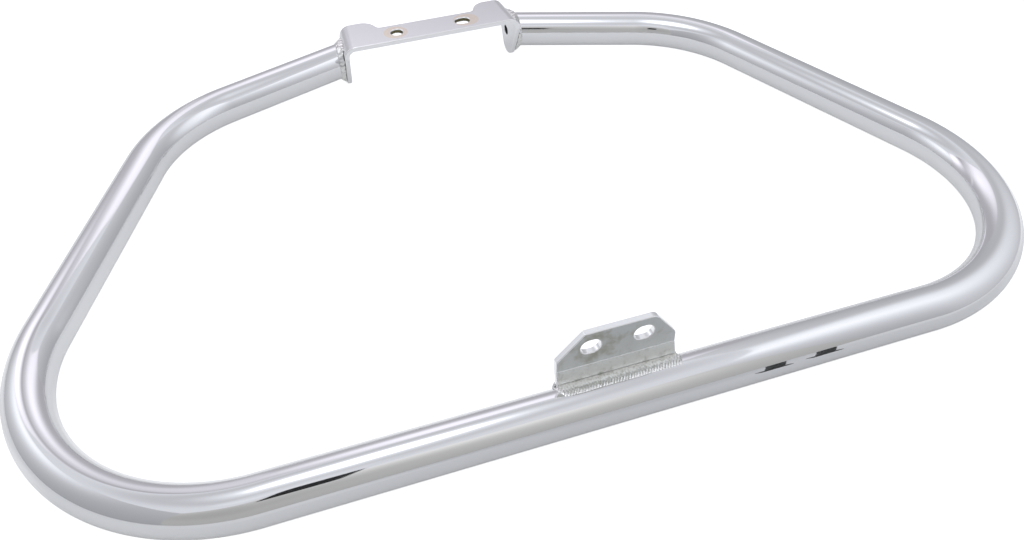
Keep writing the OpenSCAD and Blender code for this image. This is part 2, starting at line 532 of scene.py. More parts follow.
@dataclass(frozen=True)
class MirrorChrome(Finish):
    """Bright nickel and chrome plate on polished steel tube: a near mirror, a touch blue.

    Polishing leaves the tube very slightly wavy, so straight reflections waver, and the plate has a
    faint peel of a millimetre or so that only softens their edges.
    """

    name: str = "mirror_chrome_on_tube"
    colour: str = "#efeff0"
    roughness: float = 0.035
    wave_mm: float = 55.0
    peel_mm: float = 1.6

    def surface(self, nodes: Nodes, where: Socket) -> dict:
        """Add the waves, the peel and a haze that comes and goes."""
        wave = nodes.noise(where, 1000 / self.wave_mm, 1.0, 0.4)
        peel = nodes.noise(where, 1000 / self.peel_mm)
        haze = nodes.noise(where, 60.0, 3.0)
        rough = nodes.remap(haze, (0.3, 0.75), (self.roughness, self.roughness + 0.045))
        wavy = nodes.bump(wave, 0.5, 0.0004)
        return {"Roughness": rough, "Normal": nodes.bump(peel, 0.12, 0.00002, wavy)}


@dataclass(frozen=True)
class PlateChrome(Finish):
    """Chrome over sheared strip steel that was only brushed: bright, but soft, with no clear image.

    Plating runs thin in the bolt holes' corners and stains warm round them, which leaves a pale beige
    halo; the steel's mill grain shows as short fine lines of about half a millimetre. Each halo is
    given by its middle's x and y in the loop, and half its straight length.
    """

    name: str = "satin_chrome_on_strap"
    colour: str = "#fefefe"
    roughness: float = 0.2
    cloudy: str = "#f5f5f7"
    halo: str = "#fdf1e2"
    halos: tuple[Spot, ...] = ((-33.0, 447.3, 0.5), (35.3, 447.6, 1.5))
    halo_radius: float = 10.6
    halo_blur: float = 0.8

    def around(self, nodes: Nodes, where: Socket, halo: Spot) -> Socket:
        """Add the nodes of a mask round one bolt hole.

        Args:
            nodes: The material's nodes.
            where: A point's place.
            halo: One of the halos.

        Returns:
            The mask: 1 inside the halo, 0 outside.
        """
        middle = place(halo[0], halo[1], 0)
        off = nodes.vector("ABSOLUTE", nodes.vector("SUBTRACT", where, (middle.x, middle.y, 0)))
        past_straight = nodes.vector("SUBTRACT", off, (halo[2] * MM, 0, 0))
        flat = nodes.vector("MULTIPLY", nodes.vector("MAXIMUM", past_straight, (0, 0, 0)), (1, 1, 0))
        rim = ((self.halo_radius - self.halo_blur) * MM, (self.halo_radius + self.halo_blur) * MM)
        return nodes.remap(nodes.vector("LENGTH", flat), rim, (1.0, 0.0), soft=True)

    def surface(self, nodes: Nodes, where: Socket) -> dict:
        """Add the grain, clouds in tone and gloss, and the halos."""
        grain = nodes.noise(nodes.stretch(where, (0.3, 1.0, 1.0)), 2000.0)
        cloud = nodes.noise(where, 70.0, 4.0)
        rough = nodes.remap(cloud, (0.3, 0.7), (self.roughness - 0.03, self.roughness + 0.06))
        tone = nodes.mix(cloud, self.colour, self.cloudy)
        for halo in self.halos:
            tone = nodes.mix(self.around(nodes, where, halo), tone, self.halo)
        return {"Base Color": tone, "Roughness": rough, "Normal": nodes.bump(grain, 0.12, 0.00001)}


@dataclass(frozen=True)
class EdgeChrome(Finish):
    """Chrome on rounded-over edges, which buffing brightened: they draw a thin white line."""

    name: str = "buffed_chrome_on_edges"
    colour: str = "#fefefe"
    roughness: float = 0.07

    def surface(self, nodes: Nodes, where: Socket) -> dict:
        """Add small nicks."""
        nicks = nodes.noise(where, 350.0, 3.0)
        rough = nodes.remap(nicks, (0.35, 0.75), (self.roughness, self.roughness + 0.1))
        return {"Roughness": rough, "Normal": nodes.bump(nicks, 0.2, 0.00005)}


@dataclass(frozen=True)
class TabChrome(Finish):
    """Chrome over a hot-rolled tab: greyer than the strap, with olive blotches where the plate is thin.

    The blotches are some 7 mm across and gather round the left slot; the foot below the fold is
    painted lighter, a painted highlight for the brighter reflection that it catches, and all of it keeps the
    fine upright lines of the rolls, 0.7 mm apart so that they show.
    """

    name: str = "thin_chrome_on_tab"
    colour: str = "#d3d5d4"
    roughness: float = 0.34
    # painted highlight: the foot below the fold gets this lighter colour for the brighter reflection it
    # catches
    foot: str = "#f0f1ee"
    blotch: str = "#b6b6ab"
    fold_z: float = 22.8
    fold_blur: float = 0.0002
    line_mm: float = 0.7
    blotch_mm: float = 7.0
    stained: Spot = (-14.0, 13.0, 38.0)
    stain_reach: float = 21.0

    def surface(self, nodes: Nodes, where: Socket) -> dict:
        """Add the blotches, the painted highlight on the foot and the rolls' lines."""
        away = nodes.vector("DISTANCE", where, tuple(place(*self.stained)))
        reach = (self.stain_reach * MM * 0.35, self.stain_reach * MM)
        near = nodes.remap(away, reach, (0.56, 0.34), soft=True)
        cloud = nodes.noise(where, 1000 / self.blotch_mm, 4.0, 0.55, 0.15)
        stain = nodes.remap(nodes.math("ADD", cloud, near), (0.82, 1.2), soft=True)
        fold = place(0, 0, self.fold_z).z
        # painted highlight: 1 on the foot below the fold, which takes the lighter foot colour
        foot_painted_highlight_mask = nodes.remap(nodes.height(where), (fold - self.fold_blur, fold + self.fold_blur), (1.0, 0.0))
        tone = nodes.mix(stain, nodes.mix(foot_painted_highlight_mask, self.colour, self.foot), self.blotch)
        lines = nodes.noise(nodes.stretch(where, (1.0, 1.0, 0.06)), 1000 / self.line_mm)
        normal = nodes.bump(cloud, 0.3, 0.0003, nodes.bump(lines, 0.5, 0.00006))
        rough = nodes.remap(stain, (0.0, 1.0), (self.roughness, self.roughness + 0.14))
        return {"Base Color": tone, "Roughness": rough, "Normal": normal}


@dataclass(frozen=True)
class WeldChrome(Finish):
    """Chrome over an unground weld bead: bright metal broken up by ripples and fine spatter."""

    name: str = "chrome_on_weld_bead"
    colour: str = "#f6f6f4"
    roughness: float = 0.14
    pit: str = "#cfcfc9"

    def surface(self, nodes: Nodes, where: Socket) -> dict:
        """Add pits that are darker and lower."""
        pits = nodes.noise(where, 520.0)
        tone = nodes.add("ValToRGB", {"Fac": pits})
        for stop, at, colour in zip(tone.color_ramp.elements, (0.26, 0.52), (self.pit, self.colour)):
            stop.position = at
            stop.color = linear(colour)
        return {"Base Color": tone.outputs["Color"], "Normal": nodes.bump(pits, 0.16, 0.0001)}


@dataclass(frozen=True)
class BareSteel(Finish):
    """Drilled or drawn steel that the plating hardly reached: dull, with a yellow-olive cast."""

    name: str = "thinly_plated_hole_wall"
    colour: str = "#8b8563"
    roughness: float = 0.42
    stain: str = "#3e3b2c"

    def surface(self, nodes: Nodes, where: Socket) -> dict:
        """Add dark stains."""
        return {"Base Color": nodes.mix(nodes.noise(where, 400.0, 3.0), self.colour, self.stain)}


@dataclass
class GuardTube:
    """The bent tube: a straight rail, two legs and two arms, joined by four bends."""

    radius: float = 15.83
    wall: float = 3.0
    bend: float = 127.0
    rail_width: float = 832.0
    shoulder_width: float = 495.0
    shoulder_height: float = 399.0
    arm_angle: float = 20.0
    arm_reach: float = 150.0
    ear_x: float = 83.2
    ear_toe: float = 4.5
    ear_setback: float = 4.3
    sides: int = 112
    corner_rings: int = 64
    shoulder_rings: int = 30

    def __post_init__(self) -> None:
        """Work out the bends' tangent points."""
        shoulder = Vector((self.shoulder_width / 2, self.shoulder_height))
        rise = math.atan2(self.shoulder_height, (self.rail_width - self.shoulder_width) / 2)
        slope = math.radians(self.arm_angle)
        self.corner_turn = math.pi - rise
        self.shoulder_turn = rise - slope
        self.leg_heading = Vector((math.cos(self.corner_turn), math.sin(self.corner_turn)))
        self.arm_heading = Vector((math.cos(math.pi - slope), math.sin(math.pi - slope)))
        corner_cut = self.bend * math.tan(self.corner_turn / 2)
        shoulder_cut = self.bend * math.tan(self.shoulder_turn / 2)
        self.rail_end = self.rail_width / 2 - corner_cut
        self.leg_start = Vector((self.rail_width / 2, 0)) + corner_cut * self.leg_heading
        self.leg_end = shoulder - shoulder_cut * self.leg_heading
        left_of = Vector((-self.leg_heading.y, self.leg_heading.x))
        self.shoulder_centre = self.leg_end + self.bend * left_of
        self.arm_end_y = self.shoulder_height + (self.shoulder_width / 2 - self.ear_x) * math.tan(slope)

    def run(self, shift: Vector) -> None:
        """Extrude the open end of the tube straight on, by a shift in the loop's plane."""
        bpy.ops.mesh.extrude_region_move(TRANSFORM_OT_translate={"value": (shift.x * MM, shift.y * MM, 0)})

    def turn(self, centre: Vector, angle: float, rings: int) -> None:
        """Spin the open end of the tube round a bend.

        Args:
            centre: The bend's centre in the loop's plane.
            angle: How far it turns, in radians.
            rings: Number of rings.
        """
        bpy.ops.mesh.spin(steps=rings, angle=-angle, center=place(centre.x, centre.y, 0), axis=(0, 0, 1))

    def build(self, chrome: Material, bore: Material) -> None:
        """Model the tube and dress it.

        Args:
            chrome: Finish of the outside.
            bore: Finish of the inside, whose near-black colour is painted shade.
        """
        deselect()
        bpy.ops.mesh.primitive_circle_add(
            vertices=self.sides, radius=self.radius * MM, location=place(0, 0, 0), rotation=(0, QUARTER, 0)
        )
        tube = bpy.context.object
        edit_all(tube)
        self.run(Vector((self.rail_end, 0)))
        self.turn(Vector((self.rail_end, self.bend)), self.corner_turn, self.corner_rings)
        self.run(self.leg_end - self.leg_start)
        self.turn(self.shoulder_centre, self.shoulder_turn, self.shoulder_rings)
        self.run(self.arm_heading * self.arm_reach)
        toe = math.radians(self.ear_toe)
        edit = bmesh.from_edit_mesh(tube.data)
        near_arm = place(0, self.shoulder_height - 40, 0).y
        for face in edit.faces:
            face.select_set(face.calc_center_median().y + tube.location.y > near_arm)
        bmesh.update_edit_mesh(tube.data)
        bpy.ops.mesh.bisect(
            plane_co=place(self.ear_x, self.arm_end_y - self.ear_setback, 0),
            plane_no=(-math.cos(toe), -math.sin(toe), 0),
            clear_outer=True,
        )
        bpy.ops.object.mode_set(mode="OBJECT")
        bpy.ops.object.transform_apply(location=True, rotation=True, scale=True)
        apply_modifier(tube, "MIRROR", use_mirror_merge=True, merge_threshold=MERGE)
        edit_all(tube)
        bpy.ops.mesh.remove_doubles(threshold=MERGE / 10)
        bpy.ops.mesh.normals_make_consistent(inside=False)
        bpy.ops.object.mode_set(mode="OBJECT")
        inwards = {"offset": -1, "material_offset": 1, "material_offset_rim": 0}
        apply_modifier(tube, "SOLIDIFY", thickness=self.wall * MM, **inwards)
        make_active(tube)
        bpy.ops.object.shade_smooth_by_angle(angle=math.radians(40))
        settle(tube, "bent_tube", "guard_tube", [chrome, bore])


@dataclass
class SaddleBracket:
    """The strap with its two lobes, folded down at both ends into tapered ears."""

    thickness: float = 4.5
    edge: float = 0.9
    top: float = 24.5
    fold: float = 10.5
    fold_cuts: int = 16
    ear_x: float = 83.2
    ear_mid: float = 454.5
    ear_straight: float = 1.0
    depth: float = 43.8
    web: float = 29.4
    lobe_x: float = 62.0
    lobe_fillet: float = 5.0
    toe: float = 4.5
    tip_radius: float = 10.8
    tip_drop: float = 12.0
    tip_shift: float = 1.3
    hole_x: float = 31.75
    hole_radius: float = 5.55
    slot_length: float = 14.0
    vent_radius: float = 4.5
    vent_shift: float = 4.3

    def __post_init__(self) -> None:
        """Work out the blank's main lines."""
        angle = math.radians(self.toe)
        self.out = Vector((math.cos(angle), math.sin(angle)))
        self.along = Vector((-math.sin(angle), math.cos(angle)))
        self.middle = Vector((self.ear_x, self.ear_mid))
        self.front = self.ear_mid - self.depth / 2
        self.web_back = self.front + self.web
        self.bow = self.fold * math.pi / 2

    def on_blank(self, reach: float, across: float) -> Flat:
        """Place a point of the right ear's blank.

        Args:
            reach: Distance past the fold's start.
            across: Distance from the ear's middle, along the fold.

        Returns:
            x and y on the flat blank.
        """
        point = self.middle + self.out * (reach - self.fold) + self.along * across
        return (point.x, point.y)

    def half_outline(self) -> list[Flat]:
        """List the right half of the outline, from the middle of its back to the middle of its front."""
        lobe = self.depth - self.web
        near = self.lobe_x - math.sqrt((lobe + self.lobe_fillet) ** 2 - self.lobe_fillet**2)
        small = Vector((near, self.web_back + self.lobe_fillet))
        big = Vector((self.lobe_x, self.web_back))
        meet = math.atan2(small.y - big.y, small.x - big.x)
        half = self.depth / 2
        lean = self.fold * math.sin(math.radians(self.toe))
        start = self.bow + self.ear_straight
        tip = (self.bow + self.top - self.fold + self.tip_drop, self.tip_shift)
        first = tangent((start, half), tip, self.tip_radius, -1)
        last = tangent((start, -half), tip, self.tip_radius, 1)
        ear = [(0, half + lean), (self.bow, half), (start, half)]
        ear += arc(tip, self.tip_radius, first, last, 24)
        ear += [(start, -half), (self.bow, -half), (0, -half + lean)]
        lobe_line = arc(small, self.lobe_fillet, -QUARTER, meet - math.pi, 8)
        lobe_line += arc(big, lobe, meet, QUARTER, 16)[1:]
        return [(0.0, self.web_back), *lobe_line, *(self.on_blank(*spot) for spot in ear), (0.0, self.front)]

    def folded(self, point: Vector) -> Vector:
        """Carry a point of the blank to its place on the folded bracket.

        Args:
            point: x, y and depth below the top face as a negative z, in millimetres.

        Returns:
            The point on the bracket, in millimetres of the loop.
        """
        side = -1.0 if point.x < 0 else 1.0
        flat = Vector((abs(point.x), point.y)) - self.middle
        reach, across = flat.dot(self.out) + self.fold, flat.dot(self.along)
        depth = -point.z
        if reach <= 0:
            return Vector((point.x, point.y, self.top - depth))
        angle = min(reach / self.fold, QUARTER)
        out = -self.fold + (self.fold - depth) * math.sin(angle)
        up = -self.fold + (self.fold - depth) * math.cos(angle) - max(0.0, reach - self.bow)
        ground = self.middle + self.out * out + self.along * across
        return Vector((side * ground.x, ground.y, self.top + up))

    def build(self, chrome: Material, bare: Material, edge: Material) -> None:
        """Model the bracket and dress it.

        Args:
            chrome: Finish of the plate.
            bare: Finish of the bolt holes' walls.
            edge: Finish of the rounded edges.
        """
        right = self.half_outline()
        left = [(-x, y) for x, y in reversed(right)]
        hole_y = self.front + self.web / 2
        vent_x, vent_y = self.on_blank(self.bow + self.top - self.fold, self.vent_shift)
        straight = self.slot_length - 2 * self.hole_radius
        holes = [
            (-self.hole_x, hole_y, self.hole_radius, 0.0),
            (self.hole_x, hole_y, self.hole_radius, straight),
            (vent_x, vent_y, self.vent_radius, 0.0),
            (-vent_x, vent_y, self.vent_radius, 0.0),
        ]
        plate = plate_blank("saddle_blank", right + left[1:-1], holes, self.thickness, self.edge)
        for side in (1, -1):
            normal = Vector((side * self.out.x, self.out.y, 0))
            for k in range(self.fold_cuts + 1):
                x, y = self.on_blank(self.bow * k / self.fold_cuts, 0)
                cut_across(plate, Vector((side * x, y, 0)), normal)
        for finish in (chrome, bare, edge):
            plate.data.materials.append(finish)
        for face in plate.data.polygons:
            at, steep = face.center, abs(face.normal.z)
            in_hole = any(
                math.hypot(max(0.0, abs(at.x - x) - s / 2), at.y - y) < r + 0.2 for x, y, r, s in holes[:2]
            )
            face.material_index = 2 if 0.12 < steep < 0.99 else int(in_hole and steep < 0.3)
        fold_up(plate, self.folded)
        settle(plate, "folded_saddle", "saddle_bracket", [chrome, bare, edge])


@dataclass
class LowerTab:
    """The two-slot tab: an upright plate on a leaning foot that stands on the rail."""

    thickness: float = 4.5
    edge: float = 0.55
    front: float = 13.2
    fold_z: float = 22.8
    lean: float = 21.5
    inner: float = 2.0
    half_width: float = 39.75
    height: float = 27.2
    foot: float = 12.2
    clip_left: float = 18.0
    clip_right: float = 14.5
    clip_z: float = 19.0
    right_radius: float = 6.0
    left_radius: float = 1.5
    fold_cuts: int = 5
    fold_ridge: float = 0.24
    slot_x: float = 17.5
    slot_up: float = 15.2
    slot_radius: float = 5.55
    slot_length: float = 13.4

    def __post_init__(self) -> None:
        """Work out where the fold starts."""
        self.turn = math.radians(self.lean)
        self.start = self.inner * math.tan(self.turn / 2)

    def folded(self, point: Vector) -> Vector:
        """Carry a point of the blank to its place on the folded tab.

        Args:
            point: x, height above the fold, and depth behind the front face as a negative z.

        Returns:
            The point in millimetres of the loop.
        """
        centre = Vector((self.front - self.inner, self.fold_z + self.start))
        depth, up = -point.z, point.y - self.start
        if depth < 0.05 and abs(up + 0.1) < 0.25:
            depth -= self.fold_ridge
        if up >= 0:
            spot = centre + Vector((self.inner + depth, up))
        else:
            angle = min(self.turn, -up / self.inner)
            rest = max(0.0, -up - self.turn * self.inner)
            spoke = Vector((math.cos(angle), -math.sin(angle)))
            ahead = Vector((-math.sin(angle), -math.cos(angle)))
            spot = centre + (self.inner + depth) * spoke + rest * ahead
        return Vector((point.x, spot.x, spot.y))

    def build(self, chrome: Material, edge: Material) -> None:
        """Model the tab and dress it.

        Args:
            chrome: Finish of the plate.
            edge: Finish of its edges, its slots and the ridge along its fold; on the ridge its whiter colour
                is a painted highlight over the ridge's real shape.
        """
        w, rise = self.half_width, self.height - self.clip_z
        corners = [(-w, -self.foot), (w, -self.foot), (w, rise)]
        corners += [(w - self.clip_right, self.height), (self.clip_left - w, self.height), (-w, rise)]
        outline = rounded(corners, [0, 0] + [self.right_radius] * 2 + [self.left_radius] * 2)
        straight = self.slot_length - 2 * self.slot_radius
        holes = [(s * self.slot_x, self.slot_up, self.slot_radius, straight) for s in (-1, 1)]
        plate = plate_blank("tab_blank", outline, holes, self.thickness, self.edge)
        for k in range(self.fold_cuts + 1):
            cut = Vector((0, self.start - self.inner * self.turn * k / self.fold_cuts, 0))
            cut_across(plate, cut, Vector((0, 1, 0)))
        for finish in (chrome, edge):
            plate.data.materials.append(finish)
        for face in plate.data.polygons:
            # the fold ridge is real geometry; giving its front the whiter edge chrome adds a painted
            # highlight
            fold_ridge_painted_highlight = face.center.z > -0.1 and abs(face.center.y) < 0.4
            face.material_index = int(abs(face.normal.z) < 0.99 or fold_ridge_painted_highlight)
        fold_up(plate, self.folded)
        settle(plate, "slotted_tab", "lower_tab", [chrome, edge])


@dataclass
class TabBead:
    """One fillet bead along the tab's foot, laid in overlapping ripples.

    low and high are its toes on the tube and on the plate, and root the corner behind it, all as
    depth and height in the loop.
    """

    name: str
    node: str
    low: Flat
    high: Flat
    root: Flat
    crown: float
    half_length: float = 42.2
    end_length: float = 4.5
    station: float = 0.3
    pitch: float = 1.9
    ripple: float = 0.32
    sweep: float = 3.4
    steps: int = 14

    def section(self, v: float) -> tuple[Vector, Vector]:
        """Give a point of the bead's outer curve and its outward normal.

        Args:
            v: 0 at the toe on the tube, 1 at the toe on the plate.

        Returns:
            The point and the normal, in depth and height.
        """
        a, b = Vector(self.low), Vector(self.high)
        chord = (b - a).length
        radius = ((chord / 2) ** 2 + self.crown**2) / (2 * self.crown)
        u = (b - a).normalized()
        up = Vector((-u.y, u.x))
        if up.dot((a + b) / 2 - Vector(self.root)) < 0:
            up = -up
        centre = (a + b) / 2 + up * (self.crown - radius)
        half = math.asin(min(1.0, chord / 2 / radius))
        angle = -half + 2 * half * v
        normal = up * math.cos(angle) + u * math.sin(angle)
        return centre + normal * radius, normal

    def height(self, x: float, v: float) -> float:
        """Give how far the ripples lift a point of the bead, at x along it and v across it."""
        wander = noise.noise(Vector((x * 0.22, v * 2.0, len(self.name)))) * 0.5
        lag = self.sweep * (1 - v) ** 2 + wander
        phase = ((x + lag) / self.pitch) % 1.0
        fade = math.sin(math.pi * (v * 0.92 + 0.04)) ** 0.35
        uneven = 0.12 * noise.noise(Vector((x * 0.5, v * 3.0, 4.0))) * fade
        return self.ripple * (0.5 - phase) * 2 * fade + uneven

    def build(self, chrome: Material) -> None:
        """Model the bead and dress it.

        Args:
            chrome: Its finish.
        """
        stations = round(2 * self.half_length / self.station)
        verts: list[Vector] = []
        row = self.steps + 2
        root = Vector(self.root)
        inner = root * 0.88
        for i in range(stations + 1):
            x = -self.half_length + 2 * self.half_length * i / stations
            past = max(0.0, abs(x) - (self.half_length - self.end_length)) / self.end_length
            size = max(math.sqrt(max(0.0, 1 - past * past)), 0.02)
            for j in range(self.steps + 1):
                spot, normal = self.section(j / self.steps)
                spot = spot + normal * self.height(x, j / self.steps)
                spot = root + (spot - root) * size
                verts.append(place(x, spot.x, spot.y))
            verts.append(place(x, inner.x, inner.y))
        faces: list[tuple[int, ...]] = []
        for i in range(stations):
            for j in range(row):
                a, b = i * row + j, i * row + (j + 1) % row
                faces.append((a, b, b + row, a + row))
        faces.append(tuple(range(row)))
        faces.append(tuple(stations * row + k for k in reversed(range(row))))
        mesh = bpy.data.meshes.new(self.name)
        mesh.from_pydata(verts, [], faces)
        bead = linked(self.name, mesh)
        edit_all(bead)
        bpy.ops.mesh.normals_make_consistent(inside=False)
        bpy.ops.object.mode_set(mode="OBJECT")
        bpy.ops.object.shade_smooth_by_angle(angle=math.radians(70))
        settle(bead, self.name, self.node, [chrome])


@dataclass
class RingWeld:
    """The fillet round one end of the tube, lumpy where passes of the torch overlap, ground below."""

    name: str
    node: str
    side: int
    ear_x: float = 83.2
    middle_y: float = 458.8
    voxel: float = 0.00055
    lump: float = 0.36
    ripple: float = 0.14
    ripples: int = 26
    sink: float = 0.1
    stretch: float = 1.3
    lumps_end: float = -7.0
    lumps_fade: float = 3.0

    def build(self, chrome: Material) -> None:
        """Model the weld and dress it.

        Args:
            chrome: Its finish.
        """
        deselect()
        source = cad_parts[self.node]
        weld = source.copy()
        weld.data = source.data.copy()
        weld.parent = None
        weld.matrix_world = Matrix.Identity(4)
        bpy.context.scene.collection.objects.link(weld)
        edit_all(weld)
        bpy.ops.mesh.remove_doubles(threshold=MERGE)
        bpy.ops.object.mode_set(mode="OBJECT")
        apply_modifier(weld, "REMESH", mode="VOXEL", voxel_size=self.voxel)
        apply_modifier(weld, "SMOOTH", factor=0.5, iterations=4)
        axis = place(self.side * self.ear_x, self.middle_y, 0)
        for vert in weld.data.vertices:
            spoke = vert.co - axis
            angle = math.atan2(spoke.z, spoke.y)
            ripple = math.sin(angle * self.ripples + 3 * noise.noise(vert.co * 120))
            lump = noise.noise(vert.co * 330) * 0.7 + noise.noise(vert.co * 750) * 0.3
            low = min(1.0, max(0.0, (self.lumps_end - spoke.z / MM) / self.lumps_fade))
            rough = (1 - low) * (self.lump * lump + self.ripple * ripple + 0.05) - self.sink
            vert.co += vert.normal * MM * rough
            vert.co.x = axis.x + (vert.co.x - axis.x) * self.stretch
        weld.data.materials.clear()
        make_active(weld)
        bpy.ops.object.shade_smooth()
        settle(weld, self.name, self.node, [chrome])


class Wall(Enum):
    """The tent's cloth walls and the floor between them, with their own light; the floor's is painted light
    and shade that only the chrome's reflections show.

    The first two numbers are the axis that a wall stands across and its place on it, in metres of the
    loop. Then come its brightness half way up, how much that grows over its height, and its tint.
    """

    LEFT = (0, -1.21, 0.475, 0.14, "#f6f8ff")
    RIGHT = (0, 0.77, 0.575, 0.26, "#f6f8ff")
    FRONT = (1, -0.97, 0.5, 0.11, "#ffffff")
    BACK = (1, 1.33, 0.46, -0.09, "#f8f6ff")
    TOP = (2, 1.41, 0.82, 0.0, "#f6f8ff")
    FLOOR = (2, 0.0, 0.18, 0.0, "#ffffff")

    def __init__(self, axis: int, distance: float, level: float, gain: float, tint: str) -> None:
        """Name the numbers.

        Args:
            axis: 0, 1 or 2.
            distance: Place on that axis.
            level: Brightness half way up.
            gain: Growth of the brightness.
            tint: Hex value.
        """
        self.axis = axis
        self.distance = distance
        self.level = level
        self.gain = gain
        self.tint = tint


@dataclass(frozen=True)
class Lamp:
    """One lamp's glow on a wall of the tent; on the floor, which is no lamp, a glow is a painted pool of
    light, and with negative power a painted shadow.

    at is its middle and spread its reach in the wall's plane, all in metres of the loop; power adds to
    the wall's own brightness, and takes from it where negative; edge makes its rim soft (1) or crisp (3).
    """

    wall: Wall
    at: Flat
    spread: Flat
    power: float
    edge: float = 1.0


@dataclass
class Studio:
    """White floor in a tent of lit cloth, and the camera that looks in from its front.

    The floor touches the rail's underside and both ears' tips. The camera's eye, its turns in radians
    and its focal length in pixels of the photograph were solved from the outline of the loop.
    """

    floor_z: float = -15.95
    tip_z: float = -22.85
    tip_y: float = 455.8
    tent_height: float = 1.4
    eye: Spot = (-178.396, -326.322, 454.161)
    yaw: float = 0.318332
    pitch: float = 0.756063
    roll: float = 0.0190612
    focal_px: float = 928.6727
    width_px: int = 1024
    sensor_mm: float = 36.0
    lamps: tuple[Lamp, ...] = (
        Lamp(Wall.TOP, (-0.10, 0.26), (0.43, 0.47), 0.65, 1.4),
        Lamp(Wall.TOP, (-0.10, 0.26), (0.26, 0.28), 1.2, 2.5),
        Lamp(Wall.TOP, (-0.38, -0.52), (0.31, 0.22), 0.12, 2.6),
        Lamp(Wall.TOP, (-0.07, -1.2), (0.23, 0.29), 0.18, 1.7),
        Lamp(Wall.TOP, (-0.16, 0.31), (0.83, 0.88), -0.25, 2.7),
        Lamp(Wall.RIGHT, (0.13, 0.80), (0.35, 0.76), 0.41, 1.5),
        Lamp(Wall.RIGHT, (-0.30, 1.95), (0.31, 1.6), 0.6, 0.7),
        Lamp(Wall.BACK, (0.31, 1.22), (0.58, 0.56), 0.72, 1.5),
        Lamp(Wall.BACK, (-0.10, 0.75), (0.32, 0.33), 0.43),
        Lamp(Wall.BACK, (-0.96, 1.04), (0.39, 0.51), 1.0),
        Lamp(Wall.BACK, (-0.57, 1.36), (0.11, 0.70), -0.2, 1.3),
        Lamp(Wall.BACK, (-0.34, 0.36), (0.04, 0.25), 0.17, 1.4),
        Lamp(Wall.LEFT, (1.10, 1.03), (0.65, 0.53), 0.58),
        Lamp(Wall.LEFT, (0.79, 0.66), (0.66, 1.1), 0.19),
        Lamp(Wall.FRONT, (0.20, 1.35), (0.48, 0.77), 0.31, 1.2),
        Lamp(Wall.FRONT, (-0.57, 0.80), (0.88, 0.42), -0.08, 1.8),
        # the floor's glows are painted light: pools behind the rail and beside the legs, and painted shade
        # in front of the rail, seen only in the chrome
        Lamp(Wall.FLOOR, (-0.12, 0.09), (0.30, 0.06), 0.2, 3.0),
        Lamp(Wall.FLOOR, (0.05, -0.22), (0.22, 0.13), -0.16, 2.9),
        Lamp(Wall.FLOOR, (0.10, -0.06), (0.38, 0.06), -0.1, 2.0),
        Lamp(Wall.FLOOR, (0.49, 0.18), (0.11, 0.12), 0.4, 0.9),
        Lamp(Wall.FLOOR, (-0.40, 0.23), (0.11, 0.09), 0.2, 0.8),
        Lamp(Wall.FLOOR, (0.11, -0.71), (0.46, 0.46), -0.19, 3.0),
    )

    def glow(self, nodes: Nodes, where: Socket, lamp: Lamp) -> Socket:
        """Add the nodes of one lamp's glow.

        Args:
            nodes: The wall material's nodes.
            where: A point's place, in metres of the loop.
            lamp: The lamp.

        Returns:
            The glow's brightness.
        """
        centre, size = [0.0, 0.0, 0.0], [0.0, 0.0, 0.0]
        for k, other in enumerate(a for a in range(3) if a != lamp.wall.axis):
            centre[other] = lamp.at[k]
            size[other] = 1 / lamp.spread[k]
        scaled = nodes.vector("MULTIPLY", nodes.vector("SUBTRACT", where, centre), size)
        shaped = nodes.math("POWER", nodes.vector("DOT_PRODUCT", scaled, scaled), lamp.edge)
        bell = nodes.math("EXPONENT", nodes.math("MULTIPLY", shaped, -1.0))
        return nodes.math("MULTIPLY", bell, lamp.power)

    def lit(self, nodes: Nodes, where: Socket, wall: Wall, base: Socket | float) -> Socket:
        """Add every lamp of one wall to its own brightness.

        Args:
            nodes: The material's nodes.
            where: A point's place, in metres of the loop.
            wall: The wall.
            base: The brightness without lamps.

        Returns:
            The whole brightness, never below 0.
        """
        total = base
        for lamp in self.lamps:
            if lamp.wall is wall:
                total = nodes.math("ADD", total, self.glow(nodes, where, lamp))
        return nodes.math("MAXIMUM", total, 0.0)

    def hide_from_camera(self, thing: Piece, lights: bool) -> None:
        """Leave a stage piece in reflections only, or in reflections and light.

        Args:
            thing: The stage piece.
            lights: Whether it lights the floor, as cloth does, or leaves no shade there.
        """
        thing.visible_camera = False
        thing.visible_diffuse = lights
        thing.visible_shadow = lights

    def hang_wall(self, wall: Wall) -> None:
        """Hang one cloth wall and light it.

        Args:
            wall: Which wall.
        """
        low = [Wall.LEFT.distance, Wall.FRONT.distance, -0.05]
        high = [Wall.RIGHT.distance, Wall.BACK.distance, Wall.TOP.distance]
        cloth = solid("plane", "tent_" + wall.name.lower())
        spans = [a for a in range(3) if a != wall.axis]
        for vert, far in zip(cloth.data.vertices, ((0, 0), (1, 0), (0, 1), (1, 1))):
            spot = [wall.distance] * 3
            for axis, at_high in zip(spans, far):
                spot[axis] = high[axis] if at_high else low[axis]
            vert.co = Vector(spot) + place(0, 0, 0)
        material, nodes = new_material("lit_cloth_" + wall.name.lower())
        where = nodes.where_in_loop()
        rise = nodes.math("MULTIPLY", nodes.height(where), wall.gain / self.tent_height)
        base = nodes.math("ADD", rise, wall.level - wall.gain / 2)
        shine = {"Color": linear(wall.tint), "Strength": self.lit(nodes, where, wall, base)}
        nodes.add("OutputMaterial", {"Surface": nodes.add("Emission", shine).outputs[0]})
        cloth.data.materials.append(material)
        self.hide_from_camera(cloth, lights=True)

    def light(self) -> None:
        """Hang the tent and set a plain world round it."""
        for wall in Wall:
            if wall is not Wall.FLOOR:
                self.hang_wall(wall)
        world = bpy.data.worlds.new("room_round_tent")
        bpy.context.scene.world = world
        world.use_nodes = True
        nodes = Nodes(world.node_tree)
        back = nodes.add("Background", {"Color": (1, 1, 1, 1), "Strength": 1.0})
        nodes.add("OutputWorld", {"Surface": back.outputs["Background"]})

